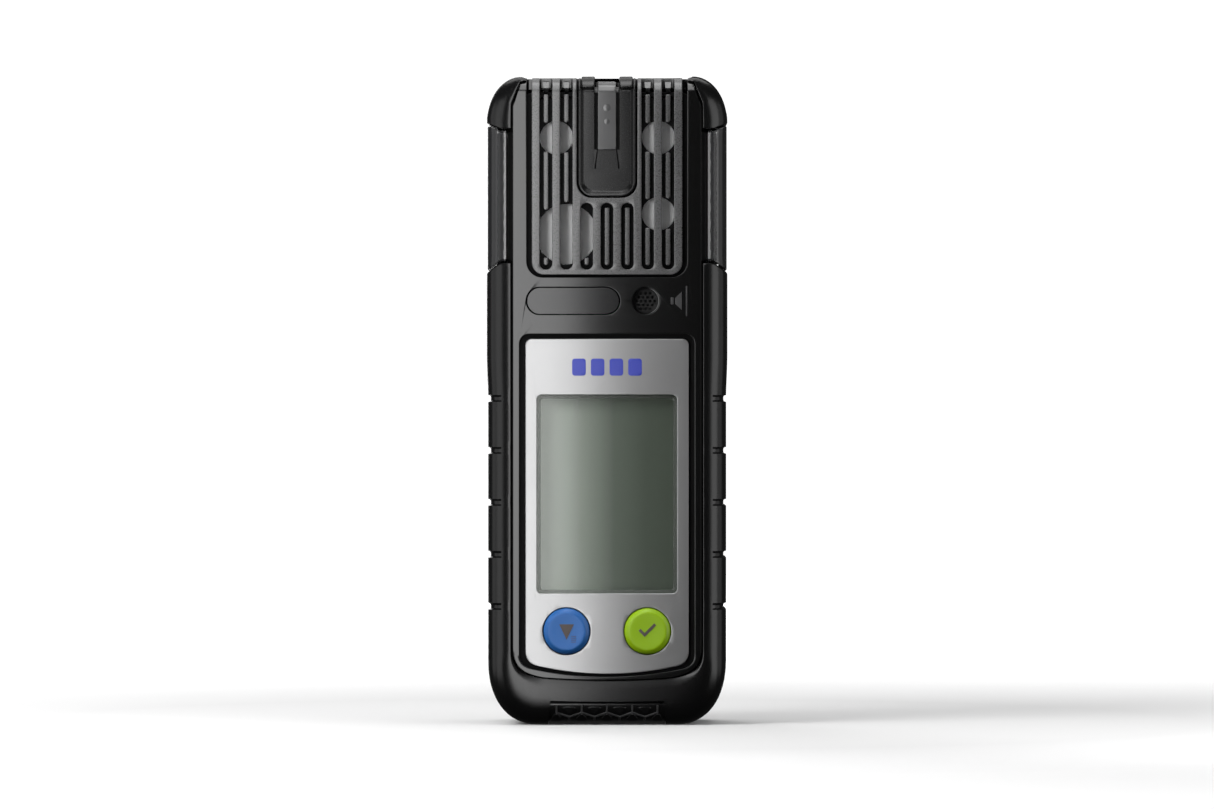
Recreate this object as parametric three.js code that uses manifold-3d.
// Portable multi-gas detector: every piece is its own closed solid in its working place.
// Units are millimetres. X is the width, the display faces -Y and +Z is up.
// The origin is the centre of the rest face under the foot.
import * as THREE from "three";
import { mergeVertices } from "three/addons/utils/BufferGeometryUtils.js";
import Module from "manifold-3d";

const wasm = await Module();
wasm.setup();

// ---------- driving dimensions ----------
const HEIGHT = 128.6;
const FRONT = -15.5; // plane of the front rails
const BACK = 15.5; // plane of the back panel
const GRIP_HALF = 23.7; // half width at the grips
const HEAD_HALF = 23.95; // half width at the alarm windows
const FOOT_HALF = 14; // half width of the flat foot
const CROWN_HALF = 17; // half width of the flat top
const FAR = 40; // reach of a cutting block beyond the case
const SIDES = [-1, 1]; // left and right

const GAP = 0.3; // clearance where two pieces meet
const RUBBER = 2.1; // thickness of the rubber skin
const SHELL_OUT = RUBBER + GAP; // how far the hard shell lies inside the outline
const SHELL_IN = 4; // how far the shell's inner face lies inside the outline
const WALL_INNER = -11.9; // inner face of the shell's front wall
const CENTRE_HALF = 18.6; // half width of the raised hard middle, front and back
const CENTRE_LOW = 8.4; // middle of its curved lower edge
const CENTRE_FLOOR_HALF = 13; // where that edge turns up into the corner
const CENTRE_CORNER_HIGH = 15;
const SIDE_BAND_HALF = 19.7; // half width of the hard middle between the alarm windows
const SPLIT = 0.35; // half the gap between the two shells, about y = 0

const GRIP_TOP = 91.5; // upper end of the rubber boot beside the middle
const END_SLOPE = 0.68; // fall of that end towards the outer edge
const GUARD_SLOPE = 0.42; // rise of the guards' lower ends towards the outer edge
const WINDOW_LOW = GRIP_TOP + 0.4;
const WINDOW_HIGH = 117.7;
const GUARD_LOW = WINDOW_HIGH + 0.4;
const COLLAR_IN = 5.4; // inset of the inner face of the shells' meeting collars
const COLLAR_DEEP = 2.5;
const SEAL_OUT = 3.4;
const SEAL_IN = 4.4;
const SEAL_HALF = 0.9;
const GUIDE = { inner: 18.5, outer: 21.2, low: 93, high: 115, front: -12.6, back: -3.2 };
const PAD_HALF = 11.4;
const PAD_HIGH = 4.3;
const NOTCH_PITCH = 10.3;
const NOTCH_LOW = 23.5;
const NOTCH_COUNT = 5;
const NOTCH_HEIGHT = 1.4;
const NOTCH_DEPTH = 0.55;
const NOTCH_INNER = 21.2;

const GRILLE_HALF = 14.9;
const GRILLE_LOW = 89.2;
const GRILLE_THICK = 2;
const GRILLE_WRAP = -8; // how far back the grille wraps over the top
const GRILLE_GROOVE = 1; // width of the groove around the grille at its sides
const SLOT_PITCH = 4.03;
const SLOT_WIDTH = 2.45;
const SLOT_LOW = 90.2;
const SHORT_SLOT_HIGH = 103.4;
const LONG_SLOT_HIGH = 126.2;
const RIB_WIDTH = 1;
const RIB_FRONT = -14.4;
const MASK_FRONT = -13.2;
const MASK_BACK = -12.2;

const CHANNEL_HALF = 5.7;
const CHANNEL_LOW = 104.7;
const CHANNEL_FLOOR_HALF = 4.7;
const CHANNEL_FLOOR_LOW = 105.6;
const CHANNEL_DEEP = 0.8;
const STRIP_HALF = 1.8;
const STRIP_LOW = 114;
const STRIP_THICK = 0.5;
const STRIP_POCKET = 1.1;

// Gas ports: x, z, radius of the white filter, radius of the sensor can behind it.
const PORTS = [
  { name: "upper_left", x: -10, z: 116.4, filter: 3.3, can: 6.4 },
  { name: "upper_right", x: 10.2, z: 116.4, filter: 3.3, can: 6.4 },
  { name: "lower_right", x: 10.2, z: 101.3, filter: 3.3, can: 6.4 },
  { name: "lower_left", x: -8, z: 97.3, filter: 6, can: 7.6 },
];
const SENSOR_FRONT = -11.6;
const SENSOR_BACK = -3.6;

const PILL = { x: -6.7, z: 84, length: 18.6, height: 5.5 };
const PILL_BACK = -12.9;
const HORN = { x: 7.7, z: 84, hole: 2.8, mesh: 3.6, body: 4.5, nozzle: -11.6, front: -11.2, back: -7.6 };

const PLATE_HALF = 16.2;
const PLATE_LOW = 10.1;
const PLATE_HIGH = 76.5;
const PLATE_FRONT = -14.9;
const PLATE_BACK = -13.9;
const RECESS_HALF = 17.4;
const RECESS_LOW = 9.6;
const RECESS_HIGH = 77.5;
const RECESS_FLOOR = -13.6;
const DISPLAY_HALF = 13.85;
const DISPLAY_LOW = 26.1;
const DISPLAY_HIGH = 65.4;

const BUTTON_X = 8;
const BUTTON_Z = 18.6;
const BUTTON_RADIUS = 4.55;
const BUTTON_FACE = -15.9;
const BUTTON_FLANGE = 5.2;
const FLANGE_FRONT = -13.5;
const FLANGE_BACK = -12.8;
const STEM_RADIUS = 1.5;
const STEM_END = -10;
const PLUNGER_RADIUS = 1.2;
const PLUNGER_FRONT = -9.7;
const PLUNGER_BACK = -7.8;
const SWITCH_HALF = 2.5;
const SWITCH_FRONT = -8.2;
const MAT = { half: 12.2, low: 12.8, high: 24.4, front: -11.6, back: -10.8 };

const BOARD_FRONT = -5.7;
const BOARD_BACK = -4.5;
const LCD = { half: 15, low: 24.9, high: 67, front: -11.6, back: -8.2 };
const LENS_BACK = -12.4;
const RIBBON_THICK = 0.4;
const RIBBON_HALF = 7;
const RIBBON_HIGH = 69.5;
const BATTERY = { half: 15.4, low: 18, high: 63, front: -1, back: 8.4 };
const CRADLE_WALL = 1.3;

const SCREWS = [
  [-14.8, 12.4],
  [14.8, 12.4],
  [-16, 87.5],
  [16, 87.5],
];
const SCREW_SHANK = 1.1;
const SCREW_HEAD = 2.2;
const BOSS_RADIUS = 3;
const SCREW_TIP = -6;
const SCREW_SEAT = 13.7; // under the housing screws' heads
const SCREW_FACE = 15.2;
const BOSS_FRONT = -10;

const CONTACT_X = 6;
const CONTACT_Z = 22;
const CONTACT_RADIUS = 2.5;
const CONTACT_FACE = BACK - 0.2;
const CONTACT_TAIL = 12.4;
const CONTACT_HEAD = 13.9; // front of the contact's wide head
const LABEL = { half: 13, low: 31, high: 56 };
const LABEL_THICK = 0.3;

const CLIP_LOW = 62;
const CLIP_HIGH = 104;
const CLIP_PLATE = [BACK + GAP, 17.2];
const PIVOT_Y = 20;
const PIVOT_Z = 92;
const PIN_RADIUS = 1;
const CLIP_SCREW_Z = 99.5;
const CLIP_SCREW_SEAT = 17.5;
const CLIP_SCREW_FACE = 18.7;
const CLIP_PLATE_HALF = 8;
const EAR_INNER = 6.1;
const EAR_OUTER = 7.9;
const EAR_RADIUS = 2.8;
const LEVER_HALF = 5.8;
const LUG_INNER = 3;
const LUG_RADIUS = 2.5;
const COIL = { turns: 4.5, radius: 1.68, half: 2.3, wire: 0.3 };

const MOTOR_Y = 3;
const MOTOR_Z = 70;
const MOTOR_RADIUS = 2.3;
const MOTOR_LEFT = -8;
const MOTOR_RIGHT = 4;
const SHAFT_RADIUS = 0.5;
const WEIGHT_RADIUS = 2.4;
const WEIGHT_RIGHT = 8;

// ---------- looks of the raw materials ----------
const LOOKS = {
  blackPlastic: { color: 0x1b1c1e, roughness: 0.45, metalness: 0 },
  blackRubber: { color: 0x141415, roughness: 0.8, metalness: 0 },
  grillePlastic: { color: 0x3b3d3f, roughness: 0.35, metalness: 0 },
  silverPaint: { color: 0xb4b6b8, roughness: 0.4, metalness: 0.5 },
  smokedWindow: { color: 0x4c4e50, roughness: 0.2, metalness: 0 },
  lightGuide: { color: 0xc4c8ca, roughness: 0.3, metalness: 0 },
  filterWhite: { color: 0xe8e8e6, roughness: 0.7, metalness: 0 },
  displayGlass: { color: 0x8a9a8a, roughness: 0.1, metalness: 0 },
  lcdGlass: { color: 0x7f8d7d, roughness: 0.25, metalness: 0 },
  darkGlass: { color: 0x0c0c0e, roughness: 0.1, metalness: 0 },
  blueButton: { color: 0x3c82d2, roughness: 0.4, metalness: 0 },
  greenButton: { color: 0x96c81e, roughness: 0.4, metalness: 0 },
  silicone: { color: 0x8c8c8c, roughness: 0.8, metalness: 0 },
  steel: { color: 0xb8babd, roughness: 0.3, metalness: 1 },
  gold: { color: 0xd4a94a, roughness: 0.3, metalness: 1 },
  circuitBoard: { color: 0x14522e, roughness: 0.5, metalness: 0 },
  chip: { color: 0x1a1a1c, roughness: 0.5, metalness: 0 },
  batteryFoil: { color: 0xa8adb4, roughness: 0.35, metalness: 0.8 },
  labelFoil: { color: 0xc9cbcd, roughness: 0.5, metalness: 0.2 },
};

// ---------- solids from three.js geometry ----------
function solid(geometry) {
  const bare = geometry.clone();
  bare.deleteAttribute("normal");
  bare.deleteAttribute("uv");
  const merged = mergeVertices(bare, 1e-3);
  const index = merged.index.array;
  const corners = [];
  for (let i = 0; i < index.length; i += 3) {
    const [a, b, c] = index.slice(i, i + 3);
    if (a !== b && b !== c && c !== a) corners.push(a, b, c);
  }
  return new wasm.Manifold(
    new wasm.Mesh({
      numProp: 3,
      vertProperties: new Float32Array(merged.attributes.position.array),
      triVerts: new Uint32Array(corners),
    }),
  );
}

function extrude(shape, depth, segments) {
  return new THREE.ExtrudeGeometry(shape, { depth, bevelEnabled: false, curveSegments: segments });
}

// An outline drawn in X and Z, filled from y = front to y = back.
function alongY(shape, front, back, segments = 3) {
  const geometry = extrude(shape, back - front, segments);
  geometry.rotateX(Math.PI / 2);
  geometry.translate(0, back, 0);
  return solid(geometry);
}

// An outline drawn in X and Y, filled from z = low to z = high.
function alongZ(shape, low, high, segments = 3) {
  const geometry = extrude(shape, high - low, segments);
  geometry.translate(0, 0, low);
  return solid(geometry);
}

// An outline drawn in Y and Z, filled from x = left to x = right.
function alongX(shape, left, right, segments = 3) {
  const geometry = extrude(shape, right - left, segments);
  const turn = new THREE.Matrix4().makeBasis(
    new THREE.Vector3(0, 1, 0),
    new THREE.Vector3(0, 0, 1),
    new THREE.Vector3(1, 0, 0),
  );
  geometry.applyMatrix4(turn);
  geometry.translate(left, 0, 0);
  return solid(geometry);
}

function block([x0, y0, z0], [x1, y1, z1]) {
  const geometry = new THREE.BoxGeometry(x1 - x0, y1 - y0, z1 - z0);
  geometry.translate((x0 + x1) / 2, (y0 + y1) / 2, (z0 + z1) / 2);
  return solid(geometry);
}

// A turned piece about the Y axis; the profile lists [radius, y] from front to back.
function turned(profile, x = 0, z = 0, sides = 18) {
  const points = profile.map(([radius, y]) => new THREE.Vector2(radius, y));
  const geometry = new THREE.LatheGeometry(points, sides);
  geometry.translate(x, 0, z);
  return solid(geometry);
}

function disc(radius, front, back, x = 0, z = 0, sides = 18) {
  return turned([[0, front], [radius, front], [radius, back], [0, back]], x, z, sides);
}

// A rod along the X axis at height z and depth y.
function rodX(radius, left, right, y, z, sides = 16) {
  const profile = [[0, left], [radius, left], [radius, right], [0, right]];
  const geometry = new THREE.LatheGeometry(
    profile.map(([r, x]) => new THREE.Vector2(r, x)),
    sides,
  );
  geometry.rotateZ(-Math.PI / 2);
  geometry.translate(0, y, z);
  return solid(geometry);
}

function join(pieces) {
  return pieces.reduce((whole, piece) => whole.add(piece));
}

function cut(whole, tools) {
  return tools.reduce((rest, tool) => rest.subtract(tool), whole);
}

// ---------- outlines ----------
function roundedRect(x0, y0, x1, y1, radius) {
  const [low, high] = Array.isArray(radius) ? radius : [radius, radius];
  const shape = new THREE.Shape();
  shape.moveTo(x0 + low, y0);
  shape.lineTo(x1 - low, y0);
  shape.absarc(x1 - low, y0 + low, low, -Math.PI / 2, 0, false);
  shape.lineTo(x1, y1 - high);
  shape.absarc(x1 - high, y1 - high, high, 0, Math.PI / 2, false);
  shape.lineTo(x0 + high, y1);
  shape.absarc(x0 + high, y1 - high, high, Math.PI / 2, Math.PI, false);
  shape.lineTo(x0, y0 + low);
  shape.absarc(x0 + low, y0 + low, low, Math.PI, Math.PI * 1.5, false);
  return shape;
}

function polygon(points) {
  return new THREE.Shape(points.map(([x, y]) => new THREE.Vector2(x, y)));
}

function mirrored(points) {
  return points.map(([x, y]) => [-x, y]).reverse();
}

// The outline as drawn for the right side, or its mirror image for the left.
function onSide(side, points) {
  return polygon(side > 0 ? points : mirrored(points));
}

// The outline of an end at height z that rises or falls with the slope towards the outer edge.
function slopingEnd(z, slope) {
  return [[NOTCH_INNER, z], [FAR, z + slope * (FAR - NOTCH_INNER)]];
}

// A block between two widths on one side, over the whole depth.
function sideBlock(side, inner, outer, low, high, front = -FAR, back = FAR) {
  const [left, right] = side > 0 ? [inner, outer] : [-outer, -inner];
  return block([left, front, low], [right, back, high]);
}

// A bar with round ends, centred on x.
function stadium(x, low, high, width) {
  return roundedRect(x - width / 2, low, x + width / 2, high, width / 2 - 0.01);
}

// The case seen from the front, drawn smaller by inset all round.
function caseOutline(inset) {
  const low = inset;
  const high = HEIGHT - inset;
  const grip = GRIP_HALF - inset;
  const head = HEAD_HALF - inset;
  const heelX = 20 - 0.7 * inset;
  const heelZ = 5 + 0.8 * inset;
  const browX = 21 - 0.7 * inset;
  const browZ = 124.5 - 0.7 * inset;
  const shape = new THREE.Shape();
  shape.moveTo(-FOOT_HALF, low);
  shape.lineTo(FOOT_HALF, low);
  shape.bezierCurveTo(heelX, low, grip, heelZ, grip, 13);
  shape.lineTo(grip, 66);
  shape.lineTo(head, 72);
  shape.lineTo(head, 119);
  shape.bezierCurveTo(head, browZ, browX, high, CROWN_HALF, high);
  shape.lineTo(-CROWN_HALF, high);
  shape.bezierCurveTo(-browX, high, -head, browZ, -head, 119);
  shape.lineTo(-head, 72);
  shape.lineTo(-grip, 66);
  shape.lineTo(-grip, 13);
  shape.bezierCurveTo(-grip, heelZ, -heelX, low, -FOOT_HALF, low);
  return shape;
}

// The case's outer form, drawn smaller by inset all round.
function caseForm(inset, front = FRONT + inset, back = BACK - inset) {
  const corner = Math.max(6 - 0.6 * inset, 2);
  const edge = Math.max(3 - 0.5 * inset, 1);
  const segments = inset < RUBBER ? 2 : 1;
  const face = alongY(caseOutline(inset), front, back, 2 * segments);
  const half = HEAD_HALF - inset;
  const plan = alongZ(roundedRect(-half, front, half, back, corner), -1, HEIGHT + 1, segments);
  const side = alongX(roundedRect(front, inset, back, HEIGHT - inset, edge), -FAR, FAR, segments);
  return face.intersect(plan).intersect(side);
}

const outerForm = caseForm(0);
const rubberInner = caseForm(RUBBER);
const rubberSkin = outerForm.subtract(rubberInner);

// The hard middle of the case between the rubber parts, drawn smaller by inset.
function middleOutline(inset) {
  const half = CENTRE_HALF + GAP - inset;
  const band = SIDE_BAND_HALF + GAP - inset;
  const right = [
    [half, GRIP_TOP + inset],
    [band, GRIP_TOP + inset],
    [band, WINDOW_HIGH - inset],
    [half, WINDOW_HIGH - inset],
    [half, 123],
    [17.2 - inset, 127.4],
    [15.8 - inset, 130],
  ];
  const low = CENTRE_LOW + inset;
  const heel = low + 0.5;
  const shape = new THREE.Shape();
  shape.moveTo(-CENTRE_FLOOR_HALF, heel);
  shape.quadraticCurveTo(0, low - 0.5, CENTRE_FLOOR_HALF, heel);
  shape.quadraticCurveTo(half, heel + 0.4, half, CENTRE_CORNER_HIGH);
  [...right, ...mirrored(right)].forEach(([x, z]) => shape.lineTo(x, z));
  shape.lineTo(-half, CENTRE_CORNER_HIGH);
  shape.quadraticCurveTo(-half, heel + 0.4, -CENTRE_FLOOR_HALF, heel);
  return shape;
}

function middleBlock(inset) {
  return alongY(middleOutline(inset), -FAR, FAR, 4);
}

// A plate with a shallow curve along its bottom edge; low is the height of that edge's middle.
function plateOutline(half, low, high, corner) {
  const heelX = half - 2.5;
  const heel = low + 1.6;
  const side = heel + 2.7;
  const shape = new THREE.Shape();
  shape.moveTo(-heelX, heel);
  shape.quadraticCurveTo(0, low - 1.6, heelX, heel);
  shape.quadraticCurveTo(half, heel + 0.5, half, side);
  shape.lineTo(half, high - corner);
  shape.absarc(half - corner, high - corner, corner, 0, Math.PI / 2, false);
  shape.lineTo(-half + corner, high);
  shape.absarc(-half + corner, high - corner, corner, Math.PI / 2, Math.PI, false);
  shape.lineTo(-half, side);
  shape.quadraticCurveTo(-half, heel + 0.5, -heelX, heel);
  return shape;
}

function pillOutline(grow) {
  const half = PILL.length / 2 + grow;
  const rise = PILL.height / 2 + grow;
  return roundedRect(PILL.x - half, PILL.z - rise, PILL.x + half, PILL.z + rise, rise - 0.01);
}

// ---------- rubber outside ----------
function rubberBoot() {
  const right = [[FAR, -1], ...slopingEnd(GRIP_TOP, -END_SLOPE).reverse()];
  const sleeve = rubberSkin.intersect(alongY(polygon([...right, ...mirrored(right)]), -FAR, FAR));
  const padHole = block([-PAD_HALF - GAP, -FAR, -1], [PAD_HALF + GAP, FAR, PAD_HIGH + GAP]);
  return cut(sleeve, [middleBlock(0), padHole, ...gripNotches()]);
}

function gripNotches() {
  const inner = caseForm(NOTCH_DEPTH);
  const bands = [];
  for (let i = 0; i < NOTCH_COUNT; i += 1) {
    const low = NOTCH_LOW + i * NOTCH_PITCH - NOTCH_HEIGHT / 2;
    for (const side of SIDES) {
      bands.push(sideBlock(side, NOTCH_INNER, FAR, low, low + NOTCH_HEIGHT).subtract(inner));
    }
  }
  return bands;
}

function treadPad() {
  return rubberSkin.intersect(block([-PAD_HALF, -FAR, -1], [PAD_HALF, FAR, PAD_HIGH]));
}

function cornerGuard(side) {
  const reach = onSide(side, [
    [15, HEIGHT + 2],
    [18.2, GUARD_LOW],
    ...slopingEnd(GUARD_LOW, GUARD_SLOPE),
    [FAR, HEIGHT + 2],
  ]);
  return rubberSkin.intersect(alongY(reach, -FAR, FAR)).subtract(middleBlock(0));
}

// ---------- alarm windows, light guides and their lamps ----------
function alarmWindow(side) {
  const inner = SIDE_BAND_HALF + GAP;
  const reach = onSide(side, [
    [inner, WINDOW_HIGH],
    [inner, WINDOW_LOW],
    ...slopingEnd(WINDOW_LOW, -END_SLOPE),
    ...slopingEnd(WINDOW_HIGH, GUARD_SLOPE).reverse(),
  ]);
  return caseForm(0.2).subtract(rubberInner).intersect(alongY(reach, -FAR, FAR));
}

function lightGuide(side) {
  const bar = sideBlock(side, GUIDE.inner, GUIDE.outer, GUIDE.low, GUIDE.high, GUIDE.front, GUIDE.back);
  return bar.intersect(caseForm(SHELL_OUT));
}

function alarmLedStrip(side) {
  return sideBlock(side, 17.1, 18.1, GUIDE.low + 3, GUIDE.high - 3, -10, -4);
}

// ---------- hard shells ----------
function shellForm() {
  return caseForm(SHELL_OUT).add(outerForm.intersect(middleBlock(GAP)));
}

// A ring that follows the case's outline between two insets.
function outlineRing(outer, inner, front, back) {
  const hole = alongY(caseOutline(inner), front - 1, back + 1, 4);
  return alongY(caseOutline(outer), front, back, 4).subtract(hole);
}

function screwBoss([x, z], front, back) {
  const wall = HEAD_HALF - SHELL_IN;
  const rib = sideBlock(Math.sign(x), Math.abs(x), wall, z - 1, z + 1, front, back);
  return disc(BOSS_RADIUS, front, back, x, z, 20).add(rib);
}

function screwBore([x, z], radius, front, back) {
  return disc(radius, front, back, x, z, 16);
}

// The space that the grille and the centre channel fill, with the groove around them.
function grilleBay() {
  const half = GRILLE_HALF + GRILLE_GROOVE;
  const outline = roundedRect(-half, GRILLE_LOW - 0.6, half, HEIGHT + 10, [3, 0.5]);
  return alongY(outline, -FAR, GRILLE_WRAP + GAP).subtract(caseForm(GRILLE_THICK + GAP));
}

function maskOutline(grow) {
  return roundedRect(-14.1 - grow, 90.3 - grow, 14.1 + grow, 124.2 + grow, 2);
}

function displayOutline(grow) {
  return roundedRect(
    -DISPLAY_HALF - grow,
    DISPLAY_LOW - grow,
    DISPLAY_HALF + grow,
    DISPLAY_HIGH + grow,
    0.9,
  );
}

function guideOpening(side) {
  const room = GAP + 0.3;
  return sideBlock(
    side,
    GUIDE.inner - room,
    FAR,
    GUIDE.low - room,
    GUIDE.high + room,
    GUIDE.front - GAP,
    GUIDE.back + GAP,
  );
}

function frontHousing() {
  const frontHalf = block([-FAR, -FAR, -FAR], [FAR, -SPLIT, HEIGHT + FAR]);
  const cavity = caseForm(SHELL_IN, WALL_INNER, BACK);
  const collar = outlineRing(SHELL_IN - 0.1, COLLAR_IN, -COLLAR_DEEP, -SPLIT);
  const bosses = SCREWS.map((place) => screwBoss(place, BOSS_FRONT, -SPLIT));
  const shell = shellForm().intersect(frontHalf).subtract(cavity);
  const recess = plateOutline(RECESS_HALF, RECESS_LOW, RECESS_HIGH, 1.6);
  return cut(join([shell, collar, ...bosses]), [
    alongY(recess, -FAR, RECESS_FLOOR, 6),
    alongY(displayOutline(0.85), -FAR, 0),
    ...SIDES.map((side) => disc(BUTTON_FLANGE + GAP, -FAR, -11, side * BUTTON_X, BUTTON_Z)),
    grilleBay(),
    alongY(maskOutline(GAP), -FAR, -11),
    alongY(pillOutline(0.2), -FAR, -11, 6),
    disc(HORN.hole, -FAR, -11, HORN.x, HORN.z),
    disc(HORN.mesh + GAP, PILL_BACK - GAP, -11, HORN.x, HORN.z),
    ...SIDES.map(guideOpening),
    ...SCREWS.map((place) => screwBore(place, SCREW_SHANK + GAP, SCREW_TIP - 1, 1)),
    outlineRing(SEAL_OUT - GAP, SEAL_IN + GAP, -SEAL_HALF - GAP, 1),
  ]);
}

function rearHousing() {
  const backHalf = block([-FAR, SPLIT, -FAR], [FAR, FAR, HEIGHT + FAR]);
  const cavity = caseForm(SHELL_IN, FRONT, BACK - SHELL_IN);
  const pocket = block([-15, 0, 17], [15, 13.3, 84]);
  const collar = outlineRing(SHELL_IN - 0.1, COLLAR_IN, SPLIT, COLLAR_DEEP);
  const bosses = SCREWS.map((place) => screwBoss(place, SPLIT, BACK - SHELL_IN + 0.5));
  const clipBoss = disc(BOSS_RADIUS, 9, BACK - SHELL_IN + 0.5, 0, CLIP_SCREW_Z, 20);
  const shell = cut(shellForm().intersect(backHalf), [cavity, pocket]);
  const labelBed = roundedRect(-LABEL.half - GAP, LABEL.low - GAP, LABEL.half + GAP, LABEL.high + GAP, 1.3);
  return cut(join([shell, collar, clipBoss, ...bosses]), [
    ...SCREWS.map((place) => screwBore(place, SCREW_SHANK + GAP, -1, FAR)),
    ...SCREWS.map((place) => screwBore(place, SCREW_HEAD + GAP, SCREW_SEAT - GAP, FAR)),
    ...SIDES.map((side) => disc(CONTACT_RADIUS + GAP, 10, FAR, side * CONTACT_X, CONTACT_Z)),
    disc(SCREW_SHANK + GAP, 9.6, FAR, 0, CLIP_SCREW_Z, 16),
    alongY(labelBed, BACK - LABEL_THICK - GAP, FAR),
    outlineRing(SEAL_OUT - GAP, SEAL_IN + GAP, -1, SEAL_HALF + GAP),
  ]);
}

function housingSeal() {
  return outlineRing(SEAL_OUT, SEAL_IN, -SEAL_HALF, SEAL_HALF);
}

function housingScrew() {
  const profile = [
    [0, SCREW_TIP],
    [SCREW_SHANK, SCREW_TIP],
    [SCREW_SHANK, SCREW_SEAT],
    [SCREW_HEAD, SCREW_SEAT],
    [SCREW_HEAD, SCREW_FACE],
    [0, SCREW_FACE],
  ];
  return turned(profile, 0, 0, 16);
}

// ---------- gas inlet: grille, channel, mask, filters and sensors ----------
function slotPlaces() {
  return [-3, -2, -1, 0, 1, 2, 3].map((step) => ({
    x: step * SLOT_PITCH,
    high: Math.abs(step) < 2 ? SHORT_SLOT_HIGH : LONG_SLOT_HIGH,
  }));
}

function inletSkin() {
  return outerForm.subtract(caseForm(GRILLE_THICK));
}

function channelOutline(half, low, radius) {
  return roundedRect(-half, low, half, HEIGHT + 10, [radius, 0.5]);
}

function sensorGrille() {
  const outline = roundedRect(-GRILLE_HALF, GRILLE_LOW, GRILLE_HALF, HEIGHT + 10, [2.4, 0.5]);
  const panel = inletSkin().intersect(alongY(outline, -FAR, GRILLE_WRAP));
  const slots = slotPlaces().map(({ x, high }) => {
    const slot = stadium(x, SLOT_LOW, high, SLOT_WIDTH);
    return alongY(slot, -FAR, MASK_BACK, 2);
  });
  const channelHole = channelOutline(CHANNEL_HALF + GAP, CHANNEL_LOW - GAP, 3);
  return cut(panel, [...slots, alongY(channelHole, -FAR, GRILLE_WRAP - 1.5)]);
}

function centreChannel() {
  const outline = channelOutline(CHANNEL_HALF, CHANNEL_LOW, 2.9);
  const floor = channelOutline(CHANNEL_FLOOR_HALF, CHANNEL_FLOOR_LOW, 2.4);
  const body = inletSkin().intersect(alongY(outline, -FAR, GRILLE_WRAP - 2));
  const hollow = alongY(floor, -FAR, FRONT + CHANNEL_DEEP);
  const bed = block(
    [-STRIP_HALF - GAP, -FAR, STRIP_LOW - GAP],
    [STRIP_HALF + GAP, FAR, HEIGHT + 1],
  ).subtract(caseForm(GRILLE_THICK - STRIP_THICK - 0.1));
  return cut(body, [hollow, bed]);
}

function channelLightGuide() {
  const skin = caseForm(STRIP_POCKET - STRIP_THICK).subtract(caseForm(STRIP_POCKET));
  return skin.intersect(block([-STRIP_HALF, -FAR, STRIP_LOW], [STRIP_HALF, GRILLE_WRAP - 2, HEIGHT]));
}

function sensorMask() {
  const plate = alongY(maskOutline(0), MASK_FRONT, MASK_BACK);
  const ribs = slotPlaces().map(({ x, high }) => {
    const top = Math.min(high, 124) - 0.8;
    return alongY(stadium(x, SLOT_LOW + 0.8, top, RIB_WIDTH), RIB_FRONT, MASK_FRONT + 0.2, 1);
  });
  const holes = PORTS.map(({ x, z, filter }) => disc(filter + GAP, -FAR, -11, x, z, 20));
  return cut(join([plate, ...ribs]), holes);
}

function filterDisc({ filter }) {
  return disc(filter, MASK_FRONT, MASK_FRONT + 0.6, 0, 0, 20);
}

function sensorCan({ filter, can }) {
  return turned([
    [0, SENSOR_FRONT - 0.3],
    [filter + 0.5, SENSOR_FRONT - 0.3],
    [filter + 0.5, SENSOR_FRONT + 0.4],
    [can, SENSOR_FRONT + 0.4],
    [can, SENSOR_BACK - 0.5],
    [can - 0.6, SENSOR_BACK],
    [0, SENSOR_BACK],
  ]);
}

// ---------- brow: infrared window and horn ----------
function irWindow() {
  return alongY(pillOutline(-0.1), FRONT, PILL_BACK, 6);
}

function hornMesh() {
  return disc(HORN.mesh, PILL_BACK, PILL_BACK + 0.5, HORN.x, HORN.z);
}

// A round horn with a small nozzle in front.
function hornBody() {
  const profile = [
    [0, HORN.nozzle],
    [1, HORN.nozzle],
    [1, HORN.front],
    [HORN.body, HORN.front],
    [HORN.body, HORN.back],
    [0, HORN.back],
  ];
  return turned(profile, HORN.x, HORN.z);
}

// ---------- faceplate, display and keys ----------
function faceplate() {
  const plate = alongY(plateOutline(PLATE_HALF, PLATE_LOW, PLATE_HIGH, 1.2), PLATE_FRONT, PLATE_BACK, 6);
  const keyHoles = SIDES.map((side) => disc(BUTTON_RADIUS + GAP, -FAR, 0, side * BUTTON_X, BUTTON_Z, 24));
  return cut(plate, [alongY(displayOutline(0), -FAR, 0), ...keyHoles]);
}

function displayLens() {
  return alongY(displayOutline(0.55), RECESS_FLOOR, LENS_BACK);
}

function lcdModule() {
  return alongY(roundedRect(-LCD.half, LCD.low, LCD.half, LCD.high, 0.6), LCD.front, LCD.back);
}

// A bent ribbon between the display and the main board.
function lcdFlex() {
  const front = LCD.back - 1;
  const low = LCD.high + GAP;
  const back = BOARD_FRONT - GAP;
  const bend = polygon([
    [front, low],
    [front + RIBBON_THICK, low],
    [front + RIBBON_THICK, RIBBON_HIGH - RIBBON_THICK],
    [back, RIBBON_HIGH - RIBBON_THICK],
    [back, RIBBON_HIGH],
    [front, RIBBON_HIGH],
  ]);
  return alongX(bend, -RIBBON_HALF, RIBBON_HALF);
}

function button() {
  const profile = [
    [0, BUTTON_FACE],
    [BUTTON_RADIUS - 0.7, BUTTON_FACE],
    [BUTTON_RADIUS, BUTTON_FACE + 0.5],
    [BUTTON_RADIUS, FLANGE_FRONT],
    [BUTTON_FLANGE, FLANGE_FRONT],
    [BUTTON_FLANGE, FLANGE_BACK],
    [STEM_RADIUS, FLANGE_BACK],
    [STEM_RADIUS, STEM_END],
    [0, STEM_END],
  ];
  return turned(profile, 0, 0, 24);
}

function switchPlunger() {
  return disc(PLUNGER_RADIUS, PLUNGER_FRONT, PLUNGER_BACK);
}

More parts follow.
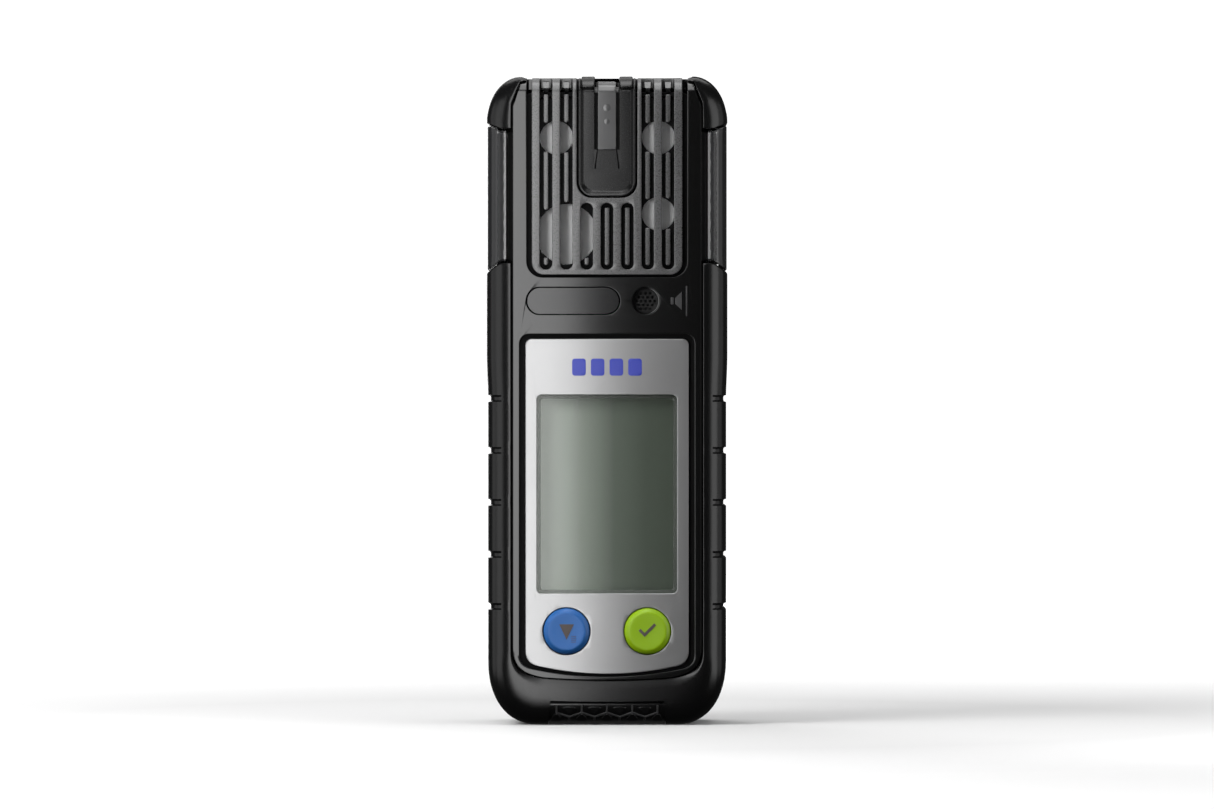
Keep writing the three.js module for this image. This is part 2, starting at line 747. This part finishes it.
function tactSwitch() {
  const outline = roundedRect(-SWITCH_HALF, -SWITCH_HALF, SWITCH_HALF, SWITCH_HALF, 0.4);
  const body = alongY(outline, SWITCH_FRONT, BOARD_FRONT - GAP);
  return body.subtract(disc(PLUNGER_RADIUS + GAP, PLUNGER_FRONT, BOARD_FRONT - 1));
}

function keypadMat() {
  const mat = alongY(roundedRect(-MAT.half, MAT.low, MAT.half, MAT.high, 1), MAT.front, MAT.back);
  const stemHoles = SIDES.map((side) => disc(STEM_RADIUS + 2 * GAP, -FAR, 0, side * BUTTON_X, BUTTON_Z));
  return cut(mat, stemHoles);
}

// ---------- boards, battery and alarms inside ----------
function mainBoard() {
  return alongY(roundedRect(-17.2, 15.9, 17.2, 83.8, 1), BOARD_FRONT, BOARD_BACK);
}

function sensorBoard() {
  return alongY(roundedRect(-17.4, 91.5, 17.4, 120, 2), SENSOR_BACK + 0.7, SENSOR_BACK + 1.9);
}

function processor() {
  return alongY(roundedRect(-5, 40, 5, 50, 0.3), BOARD_BACK + GAP, -3.2);
}

function irTransceiver() {
  return alongY(roundedRect(-13, 82, -1, 86, 0.5), -11.6, -8.6);
}

function batteryCell() {
  const { half, low, high, front, back } = BATTERY;
  return alongY(roundedRect(-half, low, half, high, 1.5), front, back);
}

// A tray that holds the battery from behind and round its four edges.
function batteryCradle() {
  const { half, low, high, front, back } = BATTERY;
  const outline = (room) => roundedRect(-half - room, low - room, half + room, high + room, 1.5 + room / 2);
  const tray = alongY(outline(GAP + CRADLE_WALL), front - 1, back + GAP + 1.1);
  return tray.subtract(alongY(outline(GAP), front - 2, back + GAP));
}

function vibrationMotor() {
  const can = rodX(MOTOR_RADIUS, MOTOR_LEFT, MOTOR_RIGHT, MOTOR_Y, MOTOR_Z);
  const bore = rodX(SHAFT_RADIUS + GAP, MOTOR_RIGHT - 2.5, MOTOR_RIGHT + 1, MOTOR_Y, MOTOR_Z, 12);
  return can.subtract(bore);
}

// A half-round weight, off centre on the motor's shaft.
function motorWeight() {
  const sector = new THREE.Shape();
  sector.moveTo(MOTOR_Y - WEIGHT_RADIUS, MOTOR_Z + 0.6);
  sector.absarc(MOTOR_Y, MOTOR_Z, WEIGHT_RADIUS, Math.PI, 2 * Math.PI, false);
  sector.lineTo(MOTOR_Y + WEIGHT_RADIUS, MOTOR_Z + 0.6);
  const shaft = rodX(SHAFT_RADIUS, MOTOR_RIGHT - 2, WEIGHT_RIGHT, MOTOR_Y, MOTOR_Z, 12);
  return alongX(sector, MOTOR_RIGHT + 0.6, WEIGHT_RIGHT, 6).add(shaft);
}

function chargeContact() {
  return turned([
    [0, CONTACT_TAIL],
    [1, CONTACT_TAIL],
    [1, CONTACT_HEAD],
    [CONTACT_RADIUS, CONTACT_HEAD],
    [CONTACT_RADIUS, CONTACT_FACE],
    [0, CONTACT_FACE],
  ]);
}

function ratingLabel() {
  const outline = roundedRect(-LABEL.half, LABEL.low, LABEL.half, LABEL.high, 1);
  return alongY(outline, BACK - LABEL_THICK, BACK);
}

// ---------- belt clip ----------
function clipBase() {
  const [near, far] = CLIP_PLATE;
  const outline = roundedRect(-CLIP_PLATE_HALF, CLIP_LOW, CLIP_PLATE_HALF, CLIP_HIGH, 2);
  const ear = new THREE.Shape();
  ear.moveTo(far - 0.2, PIVOT_Z - 5.5);
  ear.lineTo(PIVOT_Y + 2.1, PIVOT_Z - 1.8);
  ear.absarc(PIVOT_Y, PIVOT_Z, EAR_RADIUS, -0.7, 0.7, false);
  ear.lineTo(far - 0.2, PIVOT_Z + 5.5);
  const ears = [alongX(ear, -EAR_OUTER, -EAR_INNER), alongX(ear, EAR_INNER, EAR_OUTER)];
  return cut(join([alongY(outline, near, far), ...ears]), [
    rodX(PIN_RADIUS + GAP, -FAR, FAR, PIVOT_Y, PIVOT_Z),
    disc(SCREW_SHANK + GAP, 0, FAR, 0, CLIP_SCREW_Z, 16),
  ]);
}

function clipLever() {
  const profile = new THREE.Shape();
  profile.moveTo(22.4, 107.5);
  profile.lineTo(24, 107.5);
  profile.quadraticCurveTo(25.2, 92, 24.4, 72);
  profile.quadraticCurveTo(24, 64, 18.6, 62.2);
  profile.lineTo(17.5, 62.2);
  profile.lineTo(17.5, 63.6);
  profile.lineTo(18.6, 64.2);
  profile.lineTo(17.5, 64.8);
  profile.lineTo(17.5, 66.2);
  profile.quadraticCurveTo(21.4, 66.4, 22, 70);
  profile.lineTo(22.4, 88.6);
  const strip = alongX(profile, -LEVER_HALF, LEVER_HALF, 5);
  const lugSpans = [[-LEVER_HALF, -LUG_INNER], [LUG_INNER, LEVER_HALF]];
  const lugs = lugSpans.flatMap(([left, right]) => [
    rodX(LUG_RADIUS, left, right, PIVOT_Y, PIVOT_Z),
    block([left, PIVOT_Y, PIVOT_Z - LUG_RADIUS + 0.1], [right, 23, PIVOT_Z + LUG_RADIUS - 0.1]),
  ]);
  return join([strip, ...lugs]).subtract(rodX(PIN_RADIUS + GAP, -FAR, FAR, PIVOT_Y, PIVOT_Z));
}

function clipPin() {
  return rodX(PIN_RADIUS, -8.6, 8.6, PIVOT_Y, PIVOT_Z, 16);
}

// The middle line of the spring's wire, a coil about the pin.
class SpringLine extends THREE.Curve {
  getPoint(t, target = new THREE.Vector3()) {
    const angle = 2 * Math.PI * COIL.turns * t;
    return target.set(
      COIL.half * (2 * t - 1),
      PIVOT_Y + COIL.radius * Math.cos(angle),
      PIVOT_Z + COIL.radius * Math.sin(angle),
    );
  }
}

function clipSpring() {
  const wire = new THREE.Shape();
  wire.absarc(0, 0, COIL.wire, 0, 2 * Math.PI, false);
  const options = { extrudePath: new SpringLine(), steps: 44, bevelEnabled: false, curveSegments: 3 };
  return solid(new THREE.ExtrudeGeometry(wire, options));
}

function clipScrew() {
  const profile = [
    [0, 10],
    [SCREW_SHANK, 10],
    [SCREW_SHANK, CLIP_SCREW_SEAT],
    [2, CLIP_SCREW_SEAT],
    [2, CLIP_SCREW_FACE],
    [0, CLIP_SCREW_FACE],
  ];
  return turned(profile, 0, 0, 16);
}

// ---------- assembly ----------
const detector = new THREE.Group();

function place(name, body, look, x = 0, z = 0) {
  const { vertProperties, triVerts } = body.getMesh();
  const geometry = new THREE.BufferGeometry();
  geometry.setAttribute("position", new THREE.BufferAttribute(vertProperties, 3));
  geometry.setIndex(new THREE.BufferAttribute(triVerts, 1));
  geometry.computeVertexNormals();
  const mesh = new THREE.Mesh(geometry, new THREE.MeshStandardMaterial(LOOKS[look]));
  mesh.name = name;
  mesh.position.set(x, 0, z);
  detector.add(mesh);
}

function sideName(side) {
  return side < 0 ? "left" : "right";
}

place("front_housing", frontHousing(), "blackPlastic");
place("rear_housing", rearHousing(), "blackPlastic");
place("housing_seal", housingSeal(), "silicone");
place("rubber_boot", rubberBoot(), "blackRubber");
place("bottom_tread_pad", treadPad(), "blackRubber");
for (const side of SIDES) {
  place(`corner_guard_${sideName(side)}`, cornerGuard(side), "blackRubber");
  place(`alarm_window_${sideName(side)}`, alarmWindow(side), "smokedWindow");
  place(`light_guide_${sideName(side)}`, lightGuide(side), "lightGuide");
  place(`alarm_led_strip_${sideName(side)}`, alarmLedStrip(side), "circuitBoard");
}
SCREWS.forEach(([x, z]) => {
  const height = z > HEIGHT / 2 ? "upper" : "lower";
  place(`housing_screw_${height}_${sideName(x)}`, housingScrew(), "steel", x, z);
});

place("sensor_grille", sensorGrille(), "grillePlastic");
place("centre_channel", centreChannel(), "blackPlastic");
place("channel_light_guide", channelLightGuide(), "lightGuide");
place("sensor_mask", sensorMask(), "grillePlastic");
PORTS.forEach((port) => {
  place(`filter_${port.name}`, filterDisc(port), "filterWhite", port.x, port.z);
  place(`sensor_${port.name}`, sensorCan(port), "steel", port.x, port.z);
});
place("sensor_board", sensorBoard(), "circuitBoard");

place("ir_window", irWindow(), "darkGlass");
place("ir_transceiver", irTransceiver(), "chip");
place("horn_mesh", hornMesh(), "chip");
place("horn", hornBody(), "chip");

place("faceplate", faceplate(), "silverPaint");
place("display_lens", displayLens(), "displayGlass");
place("lcd_module", lcdModule(), "lcdGlass");
place("lcd_flex", lcdFlex(), "gold");
place("keypad_mat", keypadMat(), "silicone");
place("button_down", button(), "blueButton", -BUTTON_X, BUTTON_Z);
place("button_confirm", button(), "greenButton", BUTTON_X, BUTTON_Z);
for (const [name, side] of [["down", -1], ["confirm", 1]]) {
  place(`switch_plunger_${name}`, switchPlunger(), "chip", side * BUTTON_X, BUTTON_Z);
  place(`tact_switch_${name}`, tactSwitch(), "steel", side * BUTTON_X, BUTTON_Z);
}

place("main_board", mainBoard(), "circuitBoard");
place("processor", processor(), "chip");
place("battery_cell", batteryCell(), "batteryFoil");
place("battery_cradle", batteryCradle(), "blackPlastic");
place("vibration_motor", vibrationMotor(), "steel");
place("motor_weight", motorWeight(), "steel");
for (const side of SIDES) {
  place(`charge_contact_${sideName(side)}`, chargeContact(), "gold", side * CONTACT_X, CONTACT_Z);
}
place("rating_label", ratingLabel(), "labelFoil");

place("clip_base", clipBase(), "steel");
place("clip_lever", clipLever(), "steel");
place("clip_pin", clipPin(), "steel");
place("clip_spring", clipSpring(), "steel");
place("clip_screw", clipScrew(), "steel", 0, CLIP_SCREW_Z);

export default detector;
